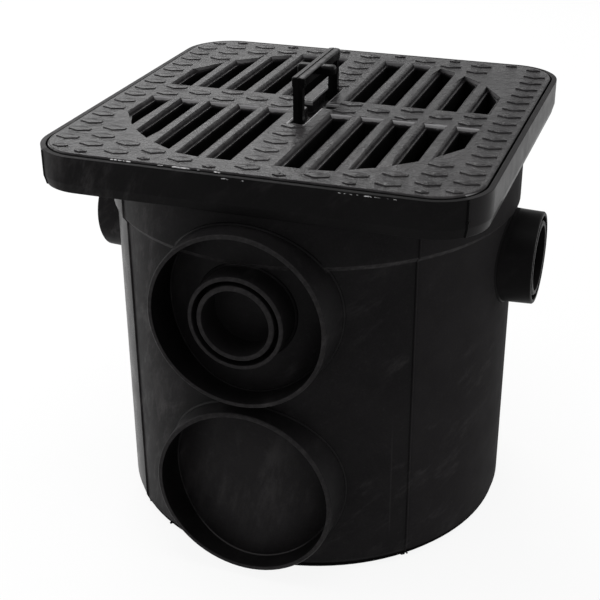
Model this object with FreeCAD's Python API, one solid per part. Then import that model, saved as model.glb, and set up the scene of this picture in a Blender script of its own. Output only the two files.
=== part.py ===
import FreeCAD, Part
import math
import os

# Rainwater drain box, in millimetres.
# A round moulded sump carries a square tray on its top. A slotted tread grate lies in the tray,
# and a pull-up handle slides in the middle of the grate. The origin is the centre of the base's
# underside, +Z is up, and -Y is the side with the two large pipe rings.

Vector = FreeCAD.Vector

# Square tray at the top of the basin
tray_side = 300.0
tray_corner_radius = 36.0
tray_height = 24.5
tray_wall = 3.5
tray_floor = 3.5
tray_band_height = 6.5
tray_band_draft = 1.6

# Round sump under the tray
tray_overhang = 6.5
sump_wall = 3.5
sump_base = 4.0
sump_edge_radius = 10.0
sump_edge_bands = 3
sump_inner_bands = 1
collar_step = 2.6
collar_depth = 61.0
collar_chamfer_height = 3.6

# Pipe rings, stacked from the base up to the tray's top
lower_ring_foot = 7.2
lower_ring_diameter = 126.4
lower_ring_wall = 3.2
lower_ring_projection = 13.5
ring_gap = 8.3
upper_ring_diameter = 121.4
upper_ring_wall = 3.0
upper_ring_projection = 18.0
upper_ring_drop = 32.7
stub_diameter = 65.0
stub_wall = 2.8
stub_gap = 3.3
stub_inner_wall = 3.4
stub_floor_set_in = 5.0
stub_floor = 3.0
side_stub_projection = 20.5
ring_draft = 0.04
ring_root_depth = 40.0
ring_edge_chamfer = 0.8

# Grate lying in the tray
grate_clearance = 1.2
grate_stand_up = 1.2
grate_wall = 3.5
grate_plate = 4.0
grate_rib_depth = 14.0
grate_edge_radius = 1.8
grate_edge_bands = 3
spine_width = 30.9
crossbar_width = 32.0
slot_width = 15.0
bar_width = 7.17
slot_field_margin = 10.6
slot_field_wall = 4.0
slot_end_margin = 8.5
slot_tier_depth = 3.0
slot_side_draft = 1.0
slot_end_draft = 0.3
slot_ledge = 1.2

# Raised tread lozenges on the grate
tread_height = 0.65
tread_slope = 0.4
tread_pitch = 16.62
tread_half_width = 8.2
tread_half_length = 4.8
tread_tip = 1.4
tread_border_inset = 12.0
small_tread_scale = 0.52
small_tread_inset = 6.0
corner_tread_scale = 0.66
corner_tread_inset = 15.7

# Pull-up handle, drawn raised
handle_travel = 30.5
handle_proud = 0.5
handle_length = 80.4
handle_width = 8.9
handle_bar_height = 7.0
handle_roof = 1.2
handle_groove = 1.0
handle_groove_depth = 0.8
handle_end_radius = 1.4
leg_width = 6.8
leg_thickness = 4.5
cross_length = 27.4
cross_width = 8.4
cross_height = 6.0
cross_drop = 1.7
cross_end_radius = 2.8
handle_clearance = 0.6
leg_clearance = 0.4
pocket_end_gap = 3.6
pocket_cross_gap = 1.6
pocket_spare_depth = 0.6
pocket_well_diameter = 14.0
pocket_well_depth = 1.5
pocket_chamfer = 0.9
barb_reach = 1.6
barb_height = 4.0
barb_play = 0.4

# Places worked out from the sizes above
lower_axis_height = lower_ring_foot + lower_ring_diameter / 2
upper_axis_height = lower_ring_foot + lower_ring_diameter + ring_gap + upper_ring_diameter / 2
tray_top = upper_axis_height + upper_ring_diameter / 2 + upper_ring_drop
tray_underside = tray_top - tray_height
sump_radius = tray_side / 2 - tray_overhang
collar_radius = sump_radius + collar_step
collar_bottom = tray_top - collar_depth
stub_inner_diameter = stub_diameter - 2 * stub_wall - 2 * stub_gap
grate_top = tray_top + grate_stand_up
grate_seat = tray_underside + tray_floor
grate_side = tray_side - 2 * tray_wall - 2 * grate_clearance
grate_corner_radius = tray_corner_radius - tray_wall - grate_clearance
grate_underside = grate_top - grate_rib_depth
slot_field_radius = collar_radius - sump_wall - slot_field_margin
slot_outer_end = slot_field_radius - slot_end_margin
slot_first = spine_width / 2 + slot_width / 2
slot_pitch = slot_width + bar_width
slots_a_side = 1 + int((slot_field_radius - slot_first - slot_width / 2) / slot_pitch)
slot_columns = [slot_first + number * slot_pitch for number in range(slots_a_side)]
tread_rows = int((grate_side / 2 - tread_border_inset) / tread_pitch)
handle_top = grate_top + handle_proud + handle_travel
handle_bar_bottom = handle_top - handle_bar_height
cross_top = handle_top - cross_drop
cross_bottom = cross_top - cross_height
pocket_floor = min(handle_bar_bottom, cross_bottom) - handle_travel - pocket_spare_depth
pocket_half_length = handle_length / 2 + pocket_end_gap
overcut = 1.0


def box_between(low, high):
    size = high - low
    return Part.makeBox(size.x, size.y, size.z, low)


def polygon_face(points):
    return Part.Face(Part.makePolygon(points + points[:1]))


def rounded_square_wire(side, radius, height):
    """Outline of a square with round corners, centred on the Z axis."""
    half = side / 2
    straight = half - radius
    diagonal = straight + radius * math.sqrt(0.5)
    edges = []
    for turn in range(4):
        spin = FreeCAD.Rotation(Vector(0, 0, 1), 90 * turn)
        start = spin.multVec(Vector(half, -straight, height))
        end = spin.multVec(Vector(half, straight, height))
        middle = spin.multVec(Vector(diagonal, diagonal, height))
        next_start = spin.multVec(Vector(straight, half, height))
        edges.append(Part.makeLine(start, end))
        edges.append(Part.Arc(end, middle, next_start).toShape())
    return Part.Wire(edges)


def rounded_square(side, radius, bottom, top):
    face = Part.Face(rounded_square_wire(side, radius, bottom))
    return face.extrude(Vector(0, 0, top - bottom))


def sump_profile(inset, bands, bottom, top):
    """The sump and its collar as a solid of revolution, its base edge rounded in this many bands."""
    radius = sump_radius - inset
    upper_radius = collar_radius - inset
    bend = sump_edge_radius - inset
    corners = [Vector(0, 0, bottom)]
    for band in range(bands + 1):
        angle = math.pi / 2 * band / bands
        out = radius - bend + bend * math.sin(angle)
        corners.append(Vector(out, 0, bottom + bend - bend * math.cos(angle)))
    corners.append(Vector(radius, 0, collar_bottom))
    corners.append(Vector(upper_radius, 0, collar_bottom + collar_chamfer_height))
    corners.append(Vector(upper_radius, 0, top))
    corners.append(Vector(0, 0, top))
    return polygon_face(corners).revolve(Vector(), Vector(0, 0, 1), 360)


def pointed(shape, direction, height):
    """Turns a shape made along +Z to lie along direction, at this height on the sump's axis."""
    turn = FreeCAD.Rotation(Vector(0, 0, 1), direction)
    shape.Placement = FreeCAD.Placement(Vector(0, 0, height), turn)
    return shape


def pipe_ring(direction, height, diameter, wall, projection):
    """A drafted tube from within the sump out through its wall, its mouth's outer edge chamfered."""
    reach = sump_radius + projection
    root = sump_radius - ring_root_depth
    outer = diameter / 2
    inner = outer - wall
    cut = ring_edge_chamfer
    section = polygon_face([
        Vector(inner, 0, root),
        Vector(outer + ring_draft * (reach - root), 0, root),
        Vector(outer, 0, reach - cut),
        Vector(outer - cut, 0, reach),
        Vector(inner, 0, reach),
    ])
    return pointed(section.revolve(Vector(), Vector(0, 0, 1), 360), direction, height)


def stub_cup(direction, projection):
    """The inner ring of a stub, closed by a flat floor that is set in from the sump's outside."""
    reach = sump_radius + projection
    bottom = sump_radius - stub_floor_set_in
    outer = stub_inner_diameter / 2
    inner = outer - stub_inner_wall
    cut = ring_edge_chamfer
    section = polygon_face([
        Vector(0, 0, bottom - stub_floor),
        Vector(outer, 0, bottom - stub_floor),
        Vector(outer, 0, reach - cut),
        Vector(outer - cut, 0, reach),
        Vector(inner, 0, reach),
        Vector(inner, 0, bottom),
        Vector(0, 0, bottom),
    ])
    return pointed(section.revolve(Vector(), Vector(0, 0, 1), 360), direction, upper_axis_height)


def stub_passage(direction, projection):
    """What is cut from the sump's wall before a stub's cup is set in it."""
    middle = stub_inner_diameter / 2 - stub_inner_wall / 2
    bottom = sump_radius - stub_floor_set_in - stub_floor / 2
    length = stub_floor_set_in + projection
    return pointed(Part.makeCylinder(middle, length, Vector(0, 0, bottom)), direction, upper_axis_height)


def make_basin():
    """Sump, tray and pipe rings, moulded as one piece."""
    front = Vector(0, -1, 0)
    stubs = [
        (front, upper_ring_projection),
        (Vector(1, 0, 0), side_stub_projection),
        (Vector(-1, 0, 0), side_stub_projection),
    ]
    band_top = tray_underside + tray_band_height
    tray = rounded_square(tray_side, tray_corner_radius, band_top, tray_top)
    band_side = tray_side - 2 * tray_band_draft
    band = Part.makeLoft([
        rounded_square_wire(band_side, tray_corner_radius - tray_band_draft, tray_underside),
        rounded_square_wire(tray_side, tray_corner_radius, band_top),
    ], True, True)
    outside = [tray, band]
    outside.append(pipe_ring(
        front, upper_axis_height, upper_ring_diameter, upper_ring_wall, upper_ring_projection))
    outside.append(pipe_ring(
        front, lower_axis_height, lower_ring_diameter, lower_ring_wall, lower_ring_projection))
    for direction, projection in stubs:
        outside.append(pipe_ring(direction, upper_axis_height, stub_diameter, stub_wall, projection))
    solid = sump_profile(0, sump_edge_bands, 0, tray_underside + tray_floor / 2).fuse(outside)
    pocket = rounded_square(
        tray_side - 2 * tray_wall, tray_corner_radius - tray_wall, grate_seat, tray_top + overcut)
    hollow = sump_profile(sump_wall, sump_inner_bands, sump_base, tray_top)
    passages = [stub_passage(*stub) for stub in stubs]
    cups = [stub_cup(*stub) for stub in stubs]
    return solid.cut([pocket, hollow] + passages).fuse(cups).removeSplitter()


def slot_end(x):
    """How far a slot runs from the middle of the grate, at this distance from the centre line."""
    return min(slot_outer_end, math.sqrt(slot_field_radius ** 2 - x ** 2))


def slot_outline(middle, side_inset, end_inset, height):
    """Outline of the slot in the first quarter whose middle line is given."""
    inner = middle - slot_width / 2
    outer = middle + slot_width / 2
    near = crossbar_width / 2 + end_inset
    return [
        Vector(inner + side_inset, near, height),
        Vector(outer - side_inset, near, height),
        Vector(outer - side_inset, slot_end(outer) - end_inset, height),
        Vector(inner + side_inset, slot_end(inner) - end_inset, height),
    ]


def slot_cutters():
    """Each slot narrows to a ledge and then runs straight down through the ribs."""
    slope_side = slot_side_draft / slot_tier_depth
    slope_end = slot_end_draft / slot_tier_depth
    tier = grate_top - slot_tier_depth
    lower_side = slot_side_draft + slot_ledge
    lower_end = slot_end_draft + slot_ledge
    quarter = []
    for middle in slot_columns:
        mouth = slot_outline(middle, -slope_side * overcut, -slope_end * overcut, grate_top + overcut)
        shelf = slot_outline(middle, slot_side_draft, slot_end_draft, tier)
        throat = slot_outline(middle, lower_side, lower_end, grate_underside - overcut)
        funnel = Part.makeLoft([Part.makePolygon(p + p[:1]) for p in (mouth, shelf)], True, True)
        shaft = polygon_face(throat).extrude(Vector(0, 0, tier + overcut - throat[0].z))
        quarter.extend([funnel, shaft])
    cutters = list(quarter)
    for cutter in quarter:
        across = cutter.mirror(Vector(), Vector(1, 0, 0))
        cutters.extend([across, cutter.mirror(Vector(), Vector(0, 1, 0))])
        cutters.append(across.mirror(Vector(), Vector(0, 1, 0)))
    return cutters


def tread(x, y, scale=1.0):
    """One raised lozenge with blunt tips and sloping sides, its foot sunk into the plate."""
    wide = tread_half_width * scale
    long = tread_half_length * scale
    tip = tread_tip * scale

    def outline(inset, height):
        shape = [(wide, tip), (0, long), (-wide, tip), (-wide, -tip), (0, -long), (wide, -tip)]
        shrink_x = 1 - inset / wide
        shrink_y = 1 - inset / long
        return Part.makePolygon(
            [Vector(x + px * shrink_x, y + py * shrink_y, height) for px, py in shape + shape[:1]])

    sunk = tread_height / 4
    grow = tread_slope * scale / tread_height
    foot = outline(-grow * sunk, grate_top - sunk)
    crown = outline(grow * tread_height, grate_top + tread_height)
    return Part.makeLoft([foot, crown], True, True)


def tread_places():
    """Centres and scales of the lozenges. One corner of the pattern is left bare."""
    border = grate_side / 2 - tread_border_inset
    last = tread_rows
    first = math.ceil((pocket_half_length + pocket_chamfer + tread_half_length) / tread_pitch)
    full = []
    for row in range(1 - last, last):
        full.extend([(-border, row), (border, row)])
    for row in range(first, last + 1):
        full.extend([(0, row), (0, -row)])
    for side in (-1, 1):
        for column in slot_columns[0::2]:
            full.extend([(side * column, 0.5), (side * column, -0.5)])
        for column in slot_columns[1::2]:
            full.append((side * column, 0))
        for end in (-1, 1):
            for column in slot_columns[1::2]:
                full.extend(column_end(side * column, end, last))
            for column in slot_columns[2::2]:
                if (side, end) != (1, 1) or column < slot_columns[-1]:
                    full.extend(column_end(side * column, end, last - 0.5))
    places = [(x, row * tread_pitch, 1.0) for x, row in full]
    corner_x = grate_side / 2 - corner_tread_inset
    small_y = grate_side / 2 - small_tread_inset
    for side in (-1, 1):
        for end in (-1, 1):
            places.append((side * corner_x, end * last * tread_pitch, corner_tread_scale))
            for column in slot_columns[0::2]:
                places.append((side * column, end * small_y, small_tread_scale))
    return places


def column_end(x, end, last):
    """The rows beyond the end of the slot at this column, from the last row inwards."""
    clear = slot_end(abs(x) - slot_width / 2) + tread_half_length
    rows = []
    row = last
    while row * tread_pitch > clear:
        rows.append((x, end * row))
        row -= 1
    return rows


def handle_pocket():
    """The cross-shaped recess that the lowered handle drops into, and its two leg holes."""
    gap = handle_clearance
    half_width = handle_width / 2 + gap
    half_cross = cross_length / 2 + gap
    half_cross_width = cross_width / 2 + pocket_cross_gap
    cutters = []
    for half_x, half_y in ((half_width, pocket_half_length), (half_cross, half_cross_width)):
        low = Vector(-half_x, -half_y, pocket_floor)
        high = Vector(half_x, half_y, grate_top + overcut)
        cutters.append(box_between(low, high))
        flare = []
        for grow, height in ((overcut + pocket_chamfer, overcut), (0, -pocket_chamfer)):
            x = half_x + grow
            y = half_y + grow
            z = grate_top + height
            flare.append(Part.makePolygon(
                [Vector(x, y, z), Vector(-x, y, z), Vector(-x, -y, z), Vector(x, -y, z), Vector(x, y, z)]))
        cutters.append(Part.makeLoft(flare, True, True))
    well = Vector(0, 0, pocket_floor - pocket_well_depth)
    cutters.append(Part.makeCylinder(pocket_well_diameter / 2, pocket_well_depth + overcut, well))
    outer = handle_length / 2 + leg_clearance
    inner = handle_length / 2 - leg_thickness - leg_clearance
    half_leg = leg_width / 2 + leg_clearance
    for near, far in ((inner, outer), (-outer, -inner)):
        low = Vector(-half_leg, near, grate_underside - overcut)
        high = Vector(half_leg, far, pocket_floor + overcut)
        cutters.append(box_between(low, high))
    return cutters


def make_grate():
    """The tread plate with its edge wall, the ribbed field under it, its slots and its lozenges."""
    wires = [rounded_square_wire(grate_side, grate_corner_radius, grate_seat)]
    for band in range(grate_edge_bands + 1):
        angle = math.pi / 2 * band / grate_edge_bands
        inset = grate_edge_radius * (1 - math.cos(angle))
        height = grate_top - grate_edge_radius * (1 - math.sin(angle))
        wires.append(rounded_square_wire(grate_side - 2 * inset, grate_corner_radius - inset, height))
    blank = Part.makeLoft(wires, True, True)
    under = rounded_square(
        grate_side - 2 * grate_wall, grate_corner_radius - grate_wall,
        grate_seat - overcut, grate_top - grate_plate)
    field = Part.makeCylinder(
        slot_field_radius + slot_field_wall,
        grate_rib_depth - grate_plate / 2,
        Vector(0, 0, grate_underside))
    plate = blank.cut(under).fuse(field)
    plate = plate.cut(slot_cutters() + handle_pocket())
    return plate.fuse([tread(*place) for place in tread_places()]).removeSplitter()


def handle_leg(side):
    """One leg with a barbed foot that stops under the grate when the handle is up."""
    outer = handle_length / 2
    inner = outer - leg_thickness
    half = leg_width / 2
    barb_top = grate_underside - barb_play
    foot = barb_top - barb_height
    section = polygon_face([
        Vector(-half, side * inner, foot),
        Vector(-half, side * inner, handle_bar_bottom + handle_bar_height / 2),
        Vector(-half, side * outer, handle_bar_bottom + handle_bar_height / 2),
        Vector(-half, side * outer, barb_top),
        Vector(-half, side * (outer + barb_reach), barb_top),
        Vector(-half, side * outer, foot),
    ])
    return section.extrude(Vector(leg_width, 0, 0))


def make_handle():
    """Top bar with a grooved ridge, a short cross bar and two legs, moulded as one piece."""
    half = handle_width / 2
    shoulder = handle_top - handle_roof
    groove = handle_groove / 2
    groove_top = handle_top - handle_roof * groove / half
    groove_floor = handle_top - handle_groove_depth
    start = -handle_length / 2
    bar = polygon_face([
        Vector(-half, start, handle_bar_bottom),
        Vector(half, start, handle_bar_bottom),
        Vector(half, start, shoulder),
        Vector(groove, start, groove_top),
        Vector(groove, start, groove_floor),
        Vector(-groove, start, groove_floor),
        Vector(-groove, start, groove_top),
        Vector(-half, start, shoulder),
    ]).extrude(Vector(0, handle_length, 0))
    upright = [
        edge for edge in bar.Edges
        if len(edge.Vertexes) == 2
        and abs(abs(edge.Vertexes[0].X) - half) < 1e-6
        and abs(edge.Vertexes[0].Y - edge.Vertexes[1].Y) < 1e-6
        and abs(edge.Vertexes[0].X - edge.Vertexes[1].X) < 1e-6
    ]
    bar = bar.makeFillet(handle_end_radius, upright)
    cross = box_between(
        Vector(-cross_length / 2, -cross_width / 2, cross_bottom),
        Vector(cross_length / 2, cross_width / 2, cross_top))
    posts = [edge for edge in cross.Edges if edge.Vertexes[0].Z != edge.Vertexes[1].Z]
    cross = cross.makeFillet(cross_end_radius, posts)
    return bar.fuse([cross, handle_leg(1), handle_leg(-1)]).removeSplitter()


def main():
    os.makedirs("parts", exist_ok=True)
    pieces = {
        "drain_basin": make_basin(),
        "slotted_grate": make_grate(),
        "lift_handle": make_handle(),
    }
    for name, shape in pieces.items():
        if not shape.isValid() or len(shape.Solids) != 1:
            raise ValueError(name + " is not one valid solid")
        shape.Solids[0].exportStep("parts/" + name + ".step")
        box = shape.BoundBox
        print(name, round(shape.Volume), box.XMin, box.XMax, box.YMin, box.YMax, box.ZMin, box.ZMax)


main()
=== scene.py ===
"""Dresses the rainwater drain box: finishes, moulding marks, floor, light and camera."""

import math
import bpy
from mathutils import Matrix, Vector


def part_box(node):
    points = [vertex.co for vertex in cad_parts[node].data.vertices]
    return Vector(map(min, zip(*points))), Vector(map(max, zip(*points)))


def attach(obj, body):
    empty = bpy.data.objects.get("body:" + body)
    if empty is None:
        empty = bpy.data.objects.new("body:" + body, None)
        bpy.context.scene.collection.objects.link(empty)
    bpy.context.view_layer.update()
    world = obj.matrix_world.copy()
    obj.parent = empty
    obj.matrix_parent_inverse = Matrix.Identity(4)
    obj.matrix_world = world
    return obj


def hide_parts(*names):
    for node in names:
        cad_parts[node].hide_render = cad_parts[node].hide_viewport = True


bl_info = {
    "name": "Rainwater Drain Box",
    "version": (1, 0, 0),
    "blender": (4, 5, 0),
    "location": "View3D > Sidebar > Drain Box",
    "description": "Finishes, moulding marks and stage for a moulded rainwater drain box",
    "category": "Object",
}

from types import SimpleNamespace

import bmesh
import bpy
from mathutils import Matrix, Vector

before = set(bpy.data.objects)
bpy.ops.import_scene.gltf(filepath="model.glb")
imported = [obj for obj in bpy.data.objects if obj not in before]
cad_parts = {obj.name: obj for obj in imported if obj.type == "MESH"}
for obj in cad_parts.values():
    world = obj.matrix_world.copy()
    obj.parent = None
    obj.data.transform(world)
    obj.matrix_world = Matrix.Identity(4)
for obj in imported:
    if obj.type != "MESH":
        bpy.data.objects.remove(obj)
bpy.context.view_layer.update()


class DrainBoxMarks(bpy.types.PropertyGroup):
    """Sizes of the moulding marks and of the surfaces that carry them."""

    sump_radius: bpy.props.FloatProperty(
        name="Sump radius", description="Outside radius of the round sump",
        default=0.1435, unit="LENGTH")
    edge_radius: bpy.props.FloatProperty(
        name="Base edge radius", description="Rounding of the sump's base",
        default=0.01, unit="LENGTH")
    collar_radius: bpy.props.FloatProperty(
        name="Collar radius", description="Outside radius of the collar",
        default=0.1461, unit="LENGTH")
    collar_bottom: bpy.props.FloatProperty(
        name="Collar bottom", description="Height where the collar starts",
        default=0.235, unit="LENGTH")
    collar_chamfer: bpy.props.FloatProperty(
        name="Collar chamfer", description="Height of the collar's sloping foot",
        default=0.0036, unit="LENGTH")
    tray_bottom: bpy.props.FloatProperty(
        name="Tray underside", description="Height of the tray's underside",
        default=0.2715, unit="LENGTH")
    tray_top: bpy.props.FloatProperty(
        name="Tray top", description="Height of the tray's rim",
        default=0.296, unit="LENGTH")
    grate_top: bpy.props.FloatProperty(
        name="Grate top", description="Height of the grate's plate",
        default=0.2972, unit="LENGTH")
    crown_height: bpy.props.FloatProperty(
        name="Crown height", description="Height of the low roof on each lozenge",
        default=0.0006, unit="LENGTH")
    bar_rounding: bpy.props.FloatProperty(
        name="Bar rounding", description="Rounding of the slots' top edges",
        default=0.0017, unit="LENGTH")
    handle_roof: bpy.props.FloatProperty(
        name="Handle roof", description="Share of the fall of the handle's top that is kept",
        default=0.35, subtype="FACTOR")
    handle_rounding: bpy.props.FloatProperty(
        name="Handle rounding", description="Rounding of the handle's edges",
        default=0.00045, unit="LENGTH")
    shoulder_rounding: bpy.props.FloatProperty(
        name="Shoulder rounding", description="Rounding of the handle's long top edges",
        default=0.0012, unit="LENGTH")
    cross_rounding: bpy.props.FloatProperty(
        name="Cross bar rounding", description="Rounding of the cross bar's top edges",
        default=0.0026, unit="LENGTH")
    tray_side: bpy.props.FloatProperty(
        name="Tray side", description="Outside length of the square tray",
        default=0.3, unit="LENGTH")
    tray_diagonal: bpy.props.FloatProperty(
        name="Tray diagonal", description="From the axis to the middle of a tray corner",
        default=0.1972, unit="LENGTH")
    rib_width: bpy.props.FloatProperty(
        name="Rib width", description="Half the width of a parting rib",
        default=0.0008, unit="LENGTH")
    rib_height: bpy.props.FloatProperty(
        name="Rib height", description="How far a parting rib stands out",
        default=0.0011, unit="LENGTH")
    upper_axis: bpy.props.FloatProperty(
        name="Upper axis", description="Height of the upper ring and the stubs",
        default=0.2026, unit="LENGTH")
    lower_axis: bpy.props.FloatProperty(
        name="Lower axis", description="Height of the lower ring",
        default=0.0704, unit="LENGTH")
    upper_radius: bpy.props.FloatProperty(
        name="Upper ring radius", description="Outside radius of the upper ring's mouth",
        default=0.0607, unit="LENGTH")
    upper_bore: bpy.props.FloatProperty(
        name="Upper ring bore", description="Inside radius of the upper ring",
        default=0.0577, unit="LENGTH")
    upper_reach: bpy.props.FloatProperty(
        name="Upper ring reach", description="From the sump's axis to the upper ring's mouth",
        default=0.1615, unit="LENGTH")
    lower_radius: bpy.props.FloatProperty(
        name="Lower ring radius", description="Outside radius of the lower ring's mouth",
        default=0.0632, unit="LENGTH")
    lower_bore: bpy.props.FloatProperty(
        name="Lower ring bore", description="Inside radius of the lower ring",
        default=0.06, unit="LENGTH")
    lower_reach: bpy.props.FloatProperty(
        name="Lower ring reach", description="From the sump's axis to the lower ring's mouth",
        default=0.157, unit="LENGTH")
    stub_radius: bpy.props.FloatProperty(
        name="Stub radius", description="Outside radius of a stub's mouth",
        default=0.0325, unit="LENGTH")
    stub_reach: bpy.props.FloatProperty(
        name="Side stub reach", description="From the sump's axis to a side stub's mouth",
        default=0.164, unit="LENGTH")
    ring_draft: bpy.props.FloatProperty(
        name="Ring draft", description="How much a ring widens towards the sump, for each length",
        default=0.04, subtype="FACTOR")
    root_fillet: bpy.props.FloatProperty(
        name="Root fillet", description="Size of the fillet at a ring's root",
        default=0.0014, unit="LENGTH")


class DrainBoxFinish(bpy.types.PropertyGroup):
    """Colours of the mouldings."""

    front_colour: bpy.props.FloatVectorProperty(
        name="Front colour", description="Black of the sump's front and back panels",
        default=(0.006, 0.0056, 0.006), subtype="COLOR", min=0.0, max=1.0)
    skirt_colour: bpy.props.FloatVectorProperty(
        name="Skirt colour", description="Black of the tray's skirt",
        default=(0.0037, 0.0035, 0.0037), subtype="COLOR", min=0.0, max=1.0)
    # Painted shade: a near-black laid where shade falls, inside the sump, in the bores, on the
    # right stub, along the tray's corner seams, on the grate's outer side and deep in and under
    # the grate.
    painted_shade_colour: bpy.props.FloatVectorProperty(
        name="Hollow colour", description="Black inside the sump and under the grate",
        default=(0.0006, 0.0006, 0.0006), subtype="COLOR", min=0.0, max=1.0)
    side_colour: bpy.props.FloatVectorProperty(
        name="Side colour", description="Black of the sump's side panels",
        default=(0.012, 0.0112, 0.0118), subtype="COLOR", min=0.0, max=1.0)
    # Grey of real scuffs, haze and dust, and also of painted highlights on the basin's lips,
    # collar foot and lower floor corner, of painted light in the middle of that floor, and of
    # painted sheen on the front of the grate.
    scuff_and_highlight_colour: bpy.props.FloatVectorProperty(
        name="Scuff colour", description="Grey of rubbed plastic",
        default=(0.055, 0.052, 0.053), subtype="COLOR", min=0.0, max=1.0)
    grate_colour: bpy.props.FloatVectorProperty(
        name="Grate colour", description="Black of the grate",
        default=(0.013, 0.012, 0.013), subtype="COLOR", min=0.0, max=1.0)
    handle_colour: bpy.props.FloatVectorProperty(
        name="Handle colour", description="Black of the handle",
        default=(0.0016, 0.0015, 0.0016), subtype="COLOR", min=0.0, max=1.0)
    # Whitened grey of the torn flash, which also makes the slot ends pale, and the grey of painted
    # highlights on the grate pocket's edges and on the handle's top right of its groove.
    chip_and_highlight_colour: bpy.props.FloatVectorProperty(
        name="Chip colour", description="Whitened grey of torn and rubbed edges",
        default=(0.62, 0.61, 0.62), subtype="COLOR", min=0.0, max=1.0)


class DrainBoxStage(bpy.types.PropertyGroup):
    """Camera, floor and light."""

    lens: bpy.props.FloatProperty(
        name="Lens", description="Focal length of the camera",
        default=74.01, unit="CAMERA")
    sensor_width: bpy.props.FloatProperty(
        name="Sensor width", description="Width of the camera's sensor",
        default=36, unit="CAMERA")
    azimuth: bpy.props.FloatProperty(
        name="Azimuth", description="Turn of the camera to the right of the front",
        default=math.radians(19.543), subtype="ANGLE")
    elevation: bpy.props.FloatProperty(
        name="Elevation", description="Angle at which the camera looks down",
        default=math.radians(26.462), subtype="ANGLE")
    roll: bpy.props.FloatProperty(
        name="Roll", description="Tilt of the camera about its view line",
        default=math.radians(0.36), subtype="ANGLE")
    place: bpy.props.FloatVectorProperty(
        name="Camera place", description="Where the camera stands",
        default=(0.26864, -0.79482, 0.56124), subtype="XYZ", unit="LENGTH")
    floor_size: bpy.props.FloatProperty(
        name="Floor size", description="Length of the floor's sides",
        default=12, unit="LENGTH")
    floor_colour: bpy.props.FloatVectorProperty(
        name="Floor colour", description="Colour of the floor",
        default=(0.9, 0.9, 0.9), subtype="COLOR", min=0.0, max=1.0)
    floor_white: bpy.props.FloatProperty(
        name="Floor white", description="How much of the floor shows as plain white",
        default=0.9, subtype="FACTOR", min=0.0, max=1.0)
    fill: bpy.props.FloatProperty(
        name="Fill", description="Strength of the room's soft light",
        default=0.5, min=0.0, subtype="FACTOR")


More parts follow.
